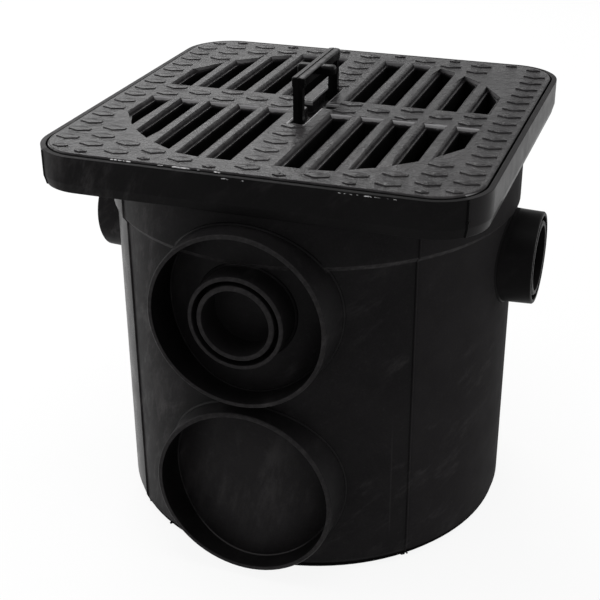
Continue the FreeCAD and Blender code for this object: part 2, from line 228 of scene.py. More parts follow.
class Nodes:
    """Adds nodes to one material and links them."""

    def __init__(self, name):
        self.material = bpy.data.materials.new(name)
        self.material.use_nodes = True
        self.tree = self.material.node_tree
        self.tree.nodes.clear()
        output = self.add("OutputMaterial")
        self.shader = self.add("BsdfPrincipled")
        self.join(self.shader.outputs["BSDF"], output.inputs["Surface"])
        self.place = self.add("TexCoord").outputs["Object"]

    def add(self, kind):
        return self.tree.nodes.new("ShaderNode" + kind)

    def join(self, source, target):
        self.tree.links.new(source, target)

    def feed(self, socket, value):
        """Links a socket to another node's output, or sets it to a plain value."""
        if isinstance(value, bpy.types.NodeSocket):
            self.join(value, socket)
        else:
            socket.default_value = value

    def math(self, kind, first, second=0.0, clamp=False):
        node = self.add("Math")
        node.operation = kind
        node.use_clamp = clamp
        self.feed(node.inputs[0], first)
        self.feed(node.inputs[1], second)
        return node.outputs[0]

    def chain(self, kind, values, clamp=False):
        """One kind of sum over all values, from the first to the last."""
        last = values[0]
        for value in values[1:-1]:
            last = self.math(kind, last, value)
        return self.math(kind, last, values[-1], clamp)

    def times(self, *values, clamp=False):
        return self.chain("MULTIPLY", values, clamp)

    def plus(self, *values, clamp=False):
        return self.chain("ADD", values, clamp)

    def most(self, *values):
        return self.chain("MAXIMUM", values)

    def minus(self, first, second):
        return self.math("SUBTRACT", first, second)

    def without(self, mask):
        """One where a mask is zero, and zero where it is one."""
        return self.minus(1.0, mask)

    def weigh(self, base, *shares, clamp=False):
        """A base value plus masks that are each given with their share."""
        return self.plus(base, *(self.times(mask, share) for mask, share in shares), clamp=clamp)

    def size(self, value):
        return self.math("ABSOLUTE", value)

    def length(self, first, second):
        return self.math("SQRT", self.plus(self.times(first, first), self.times(second, second)))

    def under(self, value, limit):
        return self.math("LESS_THAN", value, limit)

    def over(self, value, limit):
        return self.math("GREATER_THAN", value, limit)

    def ramp(self, value, low, high, start=0.0, end=1.0):
        """A soft step from start, where the value is low, to end, where it is high."""
        node = self.add("MapRange")
        node.interpolation_type = "SMOOTHSTEP"
        self.feed(node.inputs["Value"], value)
        node.inputs["From Min"].default_value = low
        node.inputs["From Max"].default_value = high
        node.inputs["To Min"].default_value = start
        node.inputs["To Max"].default_value = end
        return node.outputs[0]

    def band(self, value, start, full, fade, end):
        """A soft mask that rises from start to full and falls from fade to end."""
        return self.times(self.ramp(value, start, full), self.ramp(value, end, fade))

    def near(self, value, place, outer, inner):
        """A soft mask that is one within inner of a place and zero beyond outer."""
        return self.ramp(self.size(self.minus(value, place)), outer, inner)

    def noise(self, scale, detail=3.0, rough=0.5, stretch=None, turn=(0, 0, 0)):
        """Noise of this many waves a metre, drawn out along axes turned by these degrees."""
        node = self.add("TexNoise")
        node.inputs["Scale"].default_value = scale
        node.inputs["Detail"].default_value = detail
        node.inputs["Roughness"].default_value = rough
        source = self.place
        if stretch:
            mapping = self.add("Mapping")
            mapping.vector_type = "TEXTURE"
            self.join(source, mapping.inputs["Vector"])
            mapping.inputs["Scale"].default_value = stretch
            mapping.inputs["Rotation"].default_value = [math.radians(angle) for angle in turn]
            source = mapping.outputs[0]
        self.join(source, node.inputs["Vector"])
        return node.outputs["Fac"]

    def patches(self, low, high, **noise):
        """Noise between a low and a high level, spread into soft patches."""
        return self.ramp(self.noise(**noise), low, high)

    def mix(self, factor, first, second):
        """One colour laid over another; each is a node's output or a plain colour."""
        node = self.add("Mix")
        node.data_type = "RGBA"
        self.feed(node.inputs["Factor"], factor)
        for socket, value in ((node.inputs["A"], first), (node.inputs["B"], second)):
            self.feed(socket, value if isinstance(value, bpy.types.NodeSocket) else (*value, 1))
        return node.outputs["Result"]

    def axes(self):
        """The place on the object, as three numbers."""
        node = self.add("SeparateXYZ")
        self.join(self.place, node.inputs[0])
        return node.outputs

    def facing(self):
        """The way the surface faces, as three numbers."""
        node = self.add("SeparateXYZ")
        self.join(self.add("NewGeometry").outputs["Normal"], node.inputs[0])
        return node.outputs

    def surface(self, colour, rough, gloss):
        """Gives the shader its colour, its roughness and the strength of its gloss."""
        self.join(colour, self.shader.inputs["Base Color"])
        self.join(rough, self.shader.inputs["Roughness"])
        self.shader.inputs["Specular IOR Level"].default_value = gloss

    def bump(self, edge, layers):
        """Rounds the edges by this radius and stacks layers of (height, strength, distance)."""
        rounded = self.add("Bevel")
        rounded.samples = 6
        self.feed(rounded.inputs["Radius"], edge)
        last = rounded.outputs["Normal"]
        for height, strength, distance in layers:
            node = self.add("Bump")
            node.inputs["Strength"].default_value = strength
            node.inputs["Distance"].default_value = distance
            self.join(height, node.inputs["Height"])
            self.join(last, node.inputs["Normal"])
            last = node.outputs["Normal"]
        self.join(last, self.shader.inputs["Normal"])


# Limits of the basin's masks, in metres from the axis: the front's marks, the right stub, the
# inside of a stub's outer ring, the fine flow line; and the height of the hollow's floor.
FRONT_START, RIGHT_START, STUB_INSIDE, FLOW_LINE = 0.1, 0.12, 0.03, 0.0913
HOLLOW_FLOOR = 0.0035


def basin_parts(n, m):
    """Masks of the basin's parts, each one on its part and zero elsewhere.

    The small lengths added to a measure are slack, which keeps a mask's limit off the faces.
    """
    x, y, z = n.axes()
    facing = n.facing()
    forth, upward = facing[1], facing[2]
    across, along, reach = n.size(x), n.size(y), n.length(x, y)
    past_seam = n.minus(across, along)
    from_stubs = n.minus(z, m.upper_axis)
    low_ring = n.length(x, n.minus(z, m.lower_axis))
    high_ring = n.length(x, from_stubs)
    tray = n.over(z, m.tray_bottom - 0.0003)
    upright = n.ramp(upward, -0.7, -0.4)
    front = n.under(y, -FRONT_START)
    membrane = n.times(n.under(low_ring, m.lower_bore), front)

    walls = n.most(n.under(reach, m.collar_radius + 0.0015), tray)
    side = n.times(n.ramp(past_seam, -0.0006, 0.0006), walls, upright)
    # Painted shadow: a dark line down each corner of the tray, where the parting rib casts its
    # shade.
    corner_seam_shadow = n.times(tray, n.ramp(n.size(past_seam), 0.0013, 0.0007),
                          n.ramp(upward, 0.6, 0.3), upright)

    stubs = n.under(n.length(n.math("MINIMUM", across, along), from_stubs), STUB_INSIDE)
    # Painted shade: the inside of the sump takes the shade colour.
    hollow = n.times(n.under(reach, m.sump_radius - 0.0006), n.over(z, HOLLOW_FLOOR),
                     n.without(stubs))
    # Painted shade masks: the right stub, which sits in shade under the tray, and the inner walls
    # of the rings' bores.
    right_stub = n.times(n.over(x, RIGHT_START),
                         n.under(n.length(y, from_stubs), m.stub_radius + 0.0018))
    bores = n.most(n.near(low_ring, m.lower_bore, 0.0012, 0.0008),
                   n.near(high_ring, m.upper_bore, 0.0012, 0.0008))
    bores = n.times(bores, front, n.ramp(n.size(forth), 0.6, 0.3),
                    n.ramp(upward, 0.6, 1.0, 1.0, 0.4))

    # The collar's foot, the rings' lips and the lower ring's floor corner, which get painted
    # highlights below.
    step = m.collar_bottom
    foot = n.times(n.band(z, step - 0.0006, step + 0.0004, step + 0.003, step + 0.0042),
                   n.under(reach, m.collar_radius + 0.0004))
    low_lip = n.times(n.under(y, 0.0006 - m.lower_reach),
                      n.under(z, m.lower_axis + m.lower_radius))
    lips = n.most(n.under(y, 0.0006 - m.upper_reach), low_lip)
    floor_edge_highlight = n.times(n.over(reach, m.sump_radius + 0.0001),
                         n.under(reach, m.sump_radius + 0.001),
                         membrane, n.ramp(z, 0.03, 0.018))
    flow_line = n.times(n.near(x, FLOW_LINE, 0.0006, 0.0002), front,
                        n.band(z, 0.02, 0.04, 0.09, 0.13))
    return SimpleNamespace(
        x=x, y=y, z=z, upward=upward, low_ring=low_ring, tray=tray, upright=upright,
        membrane=membrane, side=side, corner_seam_shadow=corner_seam_shadow, hollow=hollow,
        right_stub=right_stub, bores=bores, foot=foot, lips=lips, floor_edge_highlight=floor_edge_highlight,
        flow_line=flow_line)


def basin_wear_and_highlights(n, part):
    """How much of the basin's black is rubbed, hazed or filmed over, with painted highlights on
    its edges and painted light on the lower ring's floor.
    """
    streak = n.patches(0.47, 0.72, scale=46, detail=6, rough=0.7,
                       stretch=(1.0, 1.0, 3.4), turn=(0, 14, 0))
    brush = n.patches(0.5, 0.68, scale=150, detail=5, rough=0.7,
                      stretch=(1.0, 1.0, 4.0), turn=(0, 24, 0))
    left_flank = n.times(n.ramp(part.x, -0.03, -0.105), n.ramp(part.y, 0.03, -0.05), part.upright)
    rub = n.times(left_flank, n.weigh(0.08, (streak, 0.62), (brush, 0.4)))
    ragged = n.patches(0.4, 0.68, scale=260, detail=5, rough=0.72)
    # Rubbed grey: real wear on the left flank and the flow line; on the rings' lips and the
    # collar's foot it is part ragged wear and part painted highlight; on the lower ring's floor
    # corner it is a painted highlight.
    worn_and_highlit = n.weigh(
        rub,
        (part.lips, n.weigh(0.12, (ragged, 0.2))),
        (part.foot, n.weigh(0.14, (ragged, 0.42))),
        (part.floor_edge_highlight, 0.7),
        (part.flow_line, 0.12))

    haze = n.patches(0.36, 0.68, scale=18, detail=6, rough=0.66)
    smear = n.patches(0.5, 0.72, scale=64, detail=6, rough=0.72,
                      stretch=(2.6, 2.6, 0.8), turn=(0, -38, 0))
    smear = n.times(smear, n.patches(0.42, 0.62, scale=14, detail=2), n.without(part.membrane))
    spots = n.patches(0.52, 0.74, scale=240, detail=4, rough=0.75)
    grain = n.patches(0.35, 0.68, scale=900, detail=3, rough=0.6)
    # Thin streaky film on the lower ring's floor, with painted light: it is paler towards the
    # middle of the floor and darker near the ring's wall, where shade falls.
    film_and_middle_light = n.times(part.membrane, n.weigh(0.05, (streak, 0.16)),
                   n.ramp(part.low_ring, 0.052, 0.02, 0.6, 1.8))
    amount = n.weigh(n.plus(worn_and_highlit, film_and_middle_light), (haze, 0.06), (smear, 0.3), (spots, 0.08), (grain, 0.045))
    return n.times(amount, n.weigh(1.0, (part.tray, -0.45)), clamp=True)


def basin_plastic(finish, marks):
    """Matt black moulding: paler side panels, rubbed left flank, cloudy haze and fine grain, with
    painted highlights on edges and painted shade inside, in the bores, on the right stub and along
    the corner seams.
    """
    n = Nodes("basin plastic")
    part = basin_parts(n, marks)
    body = n.mix(part.tray, finish.front_colour, finish.skirt_colour)
    body = n.mix(part.side, body, finish.side_colour)
    body = n.mix(basin_wear_and_highlights(n, part), body, finish.scuff_and_highlight_colour)
    # Painted shade: the right stub, the bores' inner walls and the tray's corner seams are
    # darkened towards the shade colour.
    dark = n.most(n.times(part.right_stub, 0.6), n.times(part.bores, 0.7), part.corner_seam_shadow)
    body = n.mix(dark, body, finish.painted_shade_colour)
    # Painted shade inside the sump.
    colour = n.mix(part.hollow, body, finish.painted_shade_colour)
    left = n.times(part.side, n.under(part.x, 0.0))
    right = n.times(part.side, n.over(part.x, 0.0))
    rough = n.weigh(
        0.3,
        (n.noise(scale=60, detail=5, rough=0.65), 0.26),
        (left, -0.14),
        (right, n.weigh(0.3, (part.tray, -0.4))),
        (part.hollow, 0.3),
        (part.tray, n.ramp(part.upward, 0.4, 0.8, 0.0, 0.2)))
    rough = n.plus(rough, n.ramp(part.z, 0.013, 0.006, 0.0, 0.3), clamp=True)
    n.surface(colour, rough, gloss=0.035)
    n.bump(0.0009, [(n.noise(scale=9, detail=2), 0.25, 0.002),
                    (n.noise(scale=1400, detail=2), 0.12, 0.0003)])
    return n.material


# Limits of the grate's masks, in metres from the middle: half the handle pocket and its long edge,
# which gets a painted highlight, the far ends of the slots, and where the plate's outer side
# starts.
POCKET_WIDTH, POCKET_LENGTH, POCKET_EDGE = 0.0155, 0.046, 0.0059
SLOT_REACH, PLATE_SIDE = 0.135, 0.125


def grate_plastic(finish, marks):
    """Satin black tread plate with cloudy dust and pale slot ends, painted sheen towards the
    front, a painted highlight on the pocket's edges and painted shade on its outer side and deep
    in the slots.
    """
    n = Nodes("grate plastic")
    x, y, z = n.axes()
    facing = n.facing()
    forth, upward = facing[1], facing[2]
    across, along = n.size(x), n.size(y)
    plate = marks.grate_top

    haze = n.patches(0.32, 0.72, scale=16, detail=6, rough=0.62)
    dust = n.patches(0.45, 0.75, scale=120, detail=5, rough=0.7)
    scratch = n.patches(0.6, 0.74, scale=90, detail=4, rough=0.65,
                        stretch=(3.0, 0.5, 1.0), turn=(0, 0, 60))
    dust_and_sheen = n.weigh(0.0, (haze, 0.22), (dust, 0.16), (scratch, 0.12))
    # Painted sheen: the dust grows strongly towards the front of the plate, so the front shows
    # paler, as the light falls there.
    dust_and_sheen = n.times(dust_and_sheen, n.ramp(y, 0.06, -0.14, 0.8, 2.8), clamp=True)
    body = n.mix(dust_and_sheen, finish.grate_colour, finish.scuff_and_highlight_colour)

    ragged = n.noise(scale=300, detail=4, rough=0.7, stretch=(2.4, 1.0, 0.8))
    slot_end = n.times(
        n.ramp(n.size(forth), 0.3, 0.6),
        n.ramp(n.weigh(z, (ragged, 0.0032)), plate - 0.0014, plate - 0.0008),
        n.ramp(z, plate - 0.0001, plate - 0.0005),
        n.under(along, SLOT_REACH),
        n.ramp(y, 0.03, -0.01, 0.2, 0.5))
    body = n.mix(slot_end, body, finish.chip_and_highlight_colour)

    pocket = n.times(n.under(across, POCKET_WIDTH), n.under(along, POCKET_LENGTH))
    # Painted highlight along the pocket's long edges, stronger towards the front.
    pocket_edge_highlight = n.times(
        n.near(across, POCKET_EDGE, 0.0008, 0.0004),
        pocket,
        n.ramp(y, -0.004, 0.004, 0.5, 0.2),
        n.ramp(z, plate - 0.001, plate - 0.0006))
    body = n.mix(pocket_edge_highlight, body, finish.chip_and_highlight_colour)

    # Painted shade: the plate's outer side, which lies in the gap beside the tray, takes the shade
    # colour.
    outside = n.times(n.over(n.most(across, along), PLATE_SIDE),
                      n.ramp(upward, 0.6, 0.3), n.under(z, plate + 0.0001))
    body = n.mix(outside, body, finish.painted_shade_colour)
    # Painted shade: deep in the slots and under the plate, apart from the pocket, everything takes
    # the shade colour.
    top = n.most(n.ramp(z, plate - 0.0052, plate - 0.0033), pocket)
    colour = n.mix(top, finish.painted_shade_colour, body)
    roof_back = n.times(n.ramp(forth, 0.03, 0.1), n.ramp(z, plate + 0.0002, plate + 0.0006))
    rough = n.weigh(0.17, (haze, 0.08), (dust, 0.1), (n.without(top), 0.4),
                    (n.most(roof_back, outside), 0.35), clamp=True)
    n.surface(colour, rough, gloss=0.05)
    n.bump(0.0002, [(n.noise(scale=36, detail=2), 1.0, 0.0016),
                    (n.noise(scale=120, detail=5, rough=0.7), 1.0, 0.001)])
    return n.material


def handle_plastic(finish):
    """Smoother black of the handle: duller arms and left half, and a painted highlight on the top
    right of its groove.
    """
    n = Nodes("handle plastic")
    x = n.axes()[0]
    haze = n.patches(0.4, 0.72, scale=90, detail=5, rough=0.6)
    arms = n.ramp(n.size(x), 0.0046, 0.006)
    dull = n.most(n.times(arms, 0.35), n.ramp(x, 0.0008, -0.0004, 0.0, 0.7))
    upward = n.times(n.ramp(n.facing()[2], 0.5, 0.9), n.weigh(1.0, (arms, -0.7)))
    rubbed = n.times(upward, n.weigh(0.06, (haze, 0.4)))
    body = n.mix(rubbed, finish.handle_colour, finish.scuff_and_highlight_colour)
    uneven = n.ramp(n.noise(scale=70, detail=3, rough=0.6), 0.36, 0.6, 0.02, 0.14)
    # Painted highlight: a pale strip on the top faces right of the groove, away from the arms.
    right_groove_highlight = n.times(upward, n.ramp(x, 0.0006, 0.0016), n.without(arms), uneven)
    colour = n.mix(right_groove_highlight, body, finish.chip_and_highlight_colour)
    n.surface(colour, n.weigh(0.17, (haze, 0.12), (dull, 0.3)), gloss=0.05)
    n.bump(0.0002, [(n.noise(scale=60, detail=3), 0.6, 0.0008),
                    (n.noise(scale=900, detail=2), 0.1, 0.0003)])
    return n.material


def torn_flash(finish):
    """Thin torn flash, grey with whitened patches."""
    n = Nodes("torn flash")
    pale = n.patches(0.36, 0.52, scale=420, detail=4, rough=0.7, stretch=(1.0, 0.4, 0.4))
    colour = n.mix(pale, finish.scuff_and_highlight_colour, finish.chip_and_highlight_colour)
    n.surface(colour, n.weigh(0.25, (pale, 0.2)), gloss=0.4)
    n.bump(0.0002, [(n.noise(scale=700, detail=3), 0.4, 0.0004)])
    return n.material


def dress(node, material):
    """Gives a moulding of the frame its only material."""
    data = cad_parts[node].data
    data.materials.clear()
    data.materials.append(material)


class DRAINBOX_OT_finish(bpy.types.Operator):
    """Gives the three mouldings their finish"""

    bl_idname = "drainbox.finish"
    bl_label = "Finish the mouldings"

    def execute(self, context):
        finish = context.scene.drain_box_finish
        marks = context.scene.drain_box_marks
        dress("drain_basin", basin_plastic(finish, marks))
        dress("slotted_grate", grate_plastic(finish, marks))
        dress("lift_handle", handle_plastic(finish))
        return {"FINISHED"}


def make_active(piece):
    """Selects one piece alone, for the tools that follow."""
    bpy.ops.object.select_all(action="DESELECT")
    piece.select_set(True)
    bpy.context.view_layer.objects.active = piece


def keep(piece, name, material, body="box"):
    """Names a finished piece, puts its place in its mesh and lets it ride on its body."""
    piece.name = name
    piece.data.name = name
    make_active(piece)
    bpy.ops.object.transform_apply(location=True, rotation=True, scale=True)
    piece.data.materials.clear()
    piece.data.materials.append(bpy.data.materials[material])
    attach(piece, body)


def merged_copy(node, name):
    """A copy of a node's mesh with its facets merged into whole faces, open in edit mode."""
    piece = bpy.data.objects.new(name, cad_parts[node].data.copy())
    bpy.context.scene.collection.objects.link(piece)
    make_active(piece)
    bpy.ops.mesh.customdata_custom_splitnormals_clear()
    bpy.ops.object.mode_set(mode="EDIT")
    bpy.ops.mesh.select_all(action="SELECT")
    bpy.ops.mesh.remove_doubles(threshold=0.00002)
    bpy.ops.mesh.dissolve_limited(angle_limit=math.radians(0.5))
    return piece


def select_where(piece, kind, test):
    """Selects the edges or the faces of a piece in edit mode that pass a test."""
    bpy.ops.mesh.select_mode(type=kind)
    bpy.ops.mesh.select_all(action="DESELECT")
    mesh = bmesh.from_edit_mesh(piece.data)
    for part in mesh.edges if kind == "EDGE" else mesh.faces:
        part.select_set(test(part))
    bmesh.update_edit_mesh(piece.data)


def round_edges(piece, test, offset, segments):
    """Rounds the edges of a piece in edit mode that pass a test."""
    select_where(piece, "EDGE", test)
    bpy.ops.mesh.bevel(offset=offset, segments=segments, affect="EDGES", clamp_overlap=False)


def join_seams(gap):
    """Merges the active piece's points that lie closer than a gap, and drops empty faces."""
    bpy.ops.object.mode_set(mode="EDIT")
    bpy.ops.mesh.select_mode(type="VERT")
    bpy.ops.mesh.select_all(action="SELECT")
    bpy.ops.mesh.remove_doubles(threshold=gap)
    bpy.ops.mesh.dissolve_degenerate(threshold=0.00001)
    bpy.ops.object.mode_set(mode="OBJECT")


def turn_outward():
    """Turns all faces of the active piece outward and leaves edit mode."""
    bpy.ops.mesh.select_all(action="SELECT")
    bpy.ops.mesh.normals_make_consistent(inside=False)
    bpy.ops.object.mode_set(mode="OBJECT")


def smooth_flats(piece, degrees):
    """Shades a piece smooth up to an angle and keeps its large faces flat."""
    bpy.ops.object.shade_smooth_by_angle(angle=math.radians(degrees))
    piece.modifiers.new("flat faces", "WEIGHTED_NORMAL").keep_sharp = True
    bpy.ops.object.modifier_apply(modifier="flat faces")


# The slots lie inside this radius and outside this plain cross, half its widths in metres.
SLOT_FIELD_RADIUS = 0.134
PLAIN_CROSS_X, PLAIN_CROSS_Y = 0.0148, 0.0155
# A point this close to a height lies on it; a wall goes at least this far down from the plate.
LEVEL_SLACK = 0.00002
WALL_DEPTH = 0.001


def slot_edge(edge, top):
    """Whether an edge lies where the plate's top meets a slot's wall."""
    if any(abs(v.co.z - top) > LEVEL_SLACK for v in edge.verts) or len(edge.link_faces) != 2:
        return False
    slopes = sorted(face.normal.z for face in edge.link_faces)
    lowest = min(v.co.z for face in edge.link_faces for v in face.verts)
    middle = (edge.verts[0].co + edge.verts[1].co) / 2
    in_field = (middle.xy.length < SLOT_FIELD_RADIUS
                and abs(middle.x) > PLAIN_CROSS_X and abs(middle.y) > PLAIN_CROSS_Y)
    return in_field and slopes[0] < 0.6 and slopes[1] > 0.99 and lowest < top - WALL_DEPTH


class DRAINBOX_OT_tread_grate(bpy.types.Operator):
    """Gives each raised lozenge of the grate its low roof and rounds the slots' edges"""

    bl_idname = "drainbox.tread_grate"
    bl_label = "Round the grate"

    def execute(self, context):
        marks = context.scene.drain_box_marks
        lozenge_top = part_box("slotted_grate")[1].z - 0.00005
        grate = merged_copy("slotted_grate", "tread_grate")
        select_where(grate, "FACE", lambda face: face.calc_center_median().z > lozenge_top)
        bpy.ops.mesh.poke(offset=marks.crown_height)
        bpy.ops.mesh.select_mode(type="EDGE")
        bpy.ops.mesh.mark_sharp()
        round_edges(grate, lambda edge: slot_edge(edge, marks.grate_top), marks.bar_rounding, 4)
        bpy.ops.object.mode_set(mode="OBJECT")
        join_seams(gap=0.00001)
        smooth_flats(grate, degrees=35)
        keep(grate, "tread_grate", "grate plastic")
        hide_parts("slotted_grate")
        return {"FINISHED"}


# How far the handle's top falls to its sides, as it comes and once it is flattened, in metres.
ROOF_FALL, FLAT_ROOF_FALL = 0.0013, 0.0007
# The groove along the handle's top: points nearer the middle than these lie in it or on its edge.
GROOVE_INSIDE, GROOVE_EDGE = 0.0004, 0.0006
# The cross bar: its top, and how far from the middle it starts and is clear of the handle.
CROSS_BAR_TOP, CROSS_BAR_ROOT, CROSS_BAR_CLEAR = 0.3265, 0.0044, 0.005


def shoulder_edge(edge, top):
    """Whether an edge lies where the handle's top meets its sides and ends."""
    ends = [v.co for v in edge.verts]
    if any(co.z < top - FLAT_ROOF_FALL or abs(co.x) < GROOVE_INSIDE for co in ends):
        return False
    if len(edge.link_faces) != 2 or all(abs(co.x) < GROOVE_EDGE for co in ends):
        return False
    slopes = sorted(face.normal.z for face in edge.link_faces)
    return abs(slopes[0]) < 0.3 and slopes[1] > 0.9


def cross_bar_edge(edge):
    """Whether an edge lies on the top outline of the handle's cross bar."""
    ends = [v.co for v in edge.verts]
    on_top = all(abs(co.x) > CROSS_BAR_ROOT and abs(co.z - CROSS_BAR_TOP) < 0.0001 for co in ends)
    return on_top and max(abs(co.x) for co in ends) > CROSS_BAR_CLEAR


class DRAINBOX_OT_pull_handle(bpy.types.Operator):
    """Flattens the handle's top and rounds its edges and its cross bar"""

    bl_idname = "drainbox.pull_handle"
    bl_label = "Round the handle"

    def execute(self, context):
        marks = context.scene.drain_box_marks
        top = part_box("lift_handle")[1].z
        handle = merged_copy("lift_handle", "pull_handle")
        mesh = bmesh.from_edit_mesh(handle.data)
        for vertex in mesh.verts:
            if vertex.co.z > top - ROOF_FALL and abs(vertex.co.x) > GROOVE_EDGE:
                vertex.co.z = top - (top - vertex.co.z) * marks.handle_roof
        bmesh.update_edit_mesh(handle.data)
        round_edges(handle, cross_bar_edge, marks.cross_rounding, 5)
        round_edges(handle, lambda edge: shoulder_edge(edge, top), marks.shoulder_rounding, 5)
        bpy.ops.object.mode_set(mode="OBJECT")
        edges = handle.modifiers.new("edges", "BEVEL")
        edges.width = marks.handle_rounding
        edges.segments = 3
        edges.limit_method = "ANGLE"
        edges.angle_limit = math.radians(40)
        bpy.ops.object.modifier_apply(modifier="edges")
        join_seams(gap=0.00009)
        smooth_flats(handle, degrees=40)
        keep(handle, "pull_handle", "handle plastic", "handle")
        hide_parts("lift_handle")
        return {"FINISHED"}


def torn_sliver():
    """One torn sliver of flash, one unit long, with ragged sides and thin ends."""
    bpy.ops.mesh.primitive_cube_add(size=1)
    sliver = bpy.context.object
    bpy.ops.object.mode_set(mode="EDIT")
    bpy.ops.mesh.select_all(action="SELECT")
    bpy.ops.mesh.subdivide(number_cuts=6)
    bpy.ops.transform.vertex_random(offset=0.12, seed=4)
    select_where(sliver, "FACE", lambda face: abs(face.calc_center_median().x) > 0.44)
    bpy.ops.transform.resize(value=(1, 0.35, 0.3))
    bpy.ops.object.mode_set(mode="OBJECT")
    return sliver


def moved_copy(piece, move):
    """A copy of a piece whose mesh is moved by a matrix."""
    copy = bpy.data.objects.new(piece.name, piece.data.copy())
    bpy.context.scene.collection.objects.link(copy)
    copy.data.transform(move)
    return copy


# Nubs of flash left where mould parts met: degrees round the sump, height and length in metres.
FLASH_NUBS = (
    (-135.8, 0.0022, 0.0026), (-44.5, 0.005, 0.0022),
    (-120.7, 0.0048, 0.002), (-45, 0.2816, 0.0024),
)
# A nub's width and height, and how far its middle stands out, as shares of its length.
NUB_WIDTH, NUB_HEIGHT, NUB_STAND = 0.5, 0.7, 0.2
# How far each nub leans beyond the one before it, in radians.
NUB_LEAN = 0.6


def nub_radius(m, height):
    """How far from the axis a nub sits: on the base's rounding, or on the corner of the tray."""
    if height > m.tray_bottom:
        return m.tray_diagonal
    bend = math.sqrt(m.edge_radius ** 2 - (m.edge_radius - height) ** 2)
    return m.sump_radius - m.edge_radius + bend


class DRAINBOX_OT_flash_nubs(bpy.types.Operator):
    """Adds the small nubs of flash at the base and on a corner of the tray"""

    bl_idname = "drainbox.flash_nubs"
    bl_label = "Add flash nubs"

    def execute(self, context):
        m = context.scene.drain_box_marks
        nub = torn_sliver()
        for number, (degrees, height, size) in enumerate(FLASH_NUBS):
            turn = Matrix.Rotation(math.radians(degrees), 4, "Z")
            place = Matrix.Translation((nub_radius(m, height) + size * NUB_STAND, 0, height))
            lean = Matrix.Rotation(NUB_LEAN * number, 4, "X")
            shape = Matrix.Diagonal((size, size * NUB_WIDTH, size * NUB_HEIGHT, 1))
            piece = moved_copy(nub, turn @ place @ lean @ shape)
            keep(piece, "flash_nub_%d" % number, "basin plastic")
        bpy.data.objects.remove(nub)
        return {"FINISHED"}


# Degrees round the axis where the mould's slides met, and the tray ribs' share of the full height.
PARTING_LINES = (-135, -45, 45, 135)
TRAY_RIB_SHARE = 0.8


def swept_rib(points, angle, width, height):
    """A low rounded rib drawn up through points given as (radius, height)."""
    bpy.ops.mesh.primitive_circle_add(vertices=10, radius=1, fill_type="NGON")
    rib = bpy.context.object
    turn = Matrix.Rotation(angle, 4, "Z")
    radius, level = points[0]
    place = Matrix.Translation((radius, 0, level))
    rib.data.transform(turn @ place @ Matrix.Diagonal((height, width, 1, 1)))
    bpy.ops.object.mode_set(mode="EDIT")
    bpy.ops.mesh.select_all(action="SELECT")
    for (r0, z0), (r1, z1) in zip(points, points[1:]):
        step = turn @ Vector((r1 - r0, 0, z1 - z0))
        bpy.ops.mesh.extrude_region_move(TRANSFORM_OT_translate={"value": step})
    turn_outward()
    bpy.ops.object.shade_smooth_by_angle(angle=math.radians(50))
    return rib


class DRAINBOX_OT_parting_ribs(bpy.types.Operator):
    """Adds the low ribs where the mould's slides met, down the four diagonals"""

    bl_idname = "drainbox.parting_ribs"
    bl_label = "Add parting ribs"

    def execute(self, context):
        m = context.scene.drain_box_marks
        turned = m.edge_radius * (1 - math.sqrt(0.5))
        # Up the sump's wall, from under the base's rounding into the tray.
        sump = (
            (m.sump_radius - m.edge_radius * 0.6, 0.0004),
            (m.sump_radius - turned, turned),
            (m.sump_radius, m.edge_radius),
            (m.sump_radius, m.collar_bottom),
            (m.collar_radius, m.collar_bottom + m.collar_chamfer),
            (m.collar_radius, m.tray_bottom + 0.001),
        )
        # Up a corner of the tray: the drafted band at its foot, then the skirt.
        skirt = (
            (m.tray_diagonal - 0.0016, m.tray_bottom + 0.0003),
            (m.tray_diagonal, m.tray_bottom + 0.0065),
            (m.tray_diagonal, m.tray_top - 0.0012),
        )
        ribs = (
            ("sump_parting_rib_%d", sump, m.rib_height),
            ("tray_parting_rib_%d", skirt, m.rib_height * TRAY_RIB_SHARE),
        )
        for number, degrees in enumerate(PARTING_LINES):
            for name, points, height in ribs:
                rib = swept_rib(points, math.radians(degrees), m.rib_width, height)
                keep(rib, name % number, "basin plastic")
        return {"FINISHED"}


# A fillet's points round its ring and round its own section, and its size in a bore as a share.
FILLET_AROUND, FILLET_SECTION = 192, 8
BORE_FILLET_SHARE = 0.8
# How deep a fillet's hidden corner lies in the walls, as a share of its size.
FILLET_SUNK = 0.25


def wall_radius(m, height):
    """Outside radius of the sump at this height, with the collar's step."""
    rise = (height - m.collar_bottom) / m.collar_chamfer
    return m.sump_radius + (m.collar_radius - m.sump_radius) * min(max(rise, 0), 1)


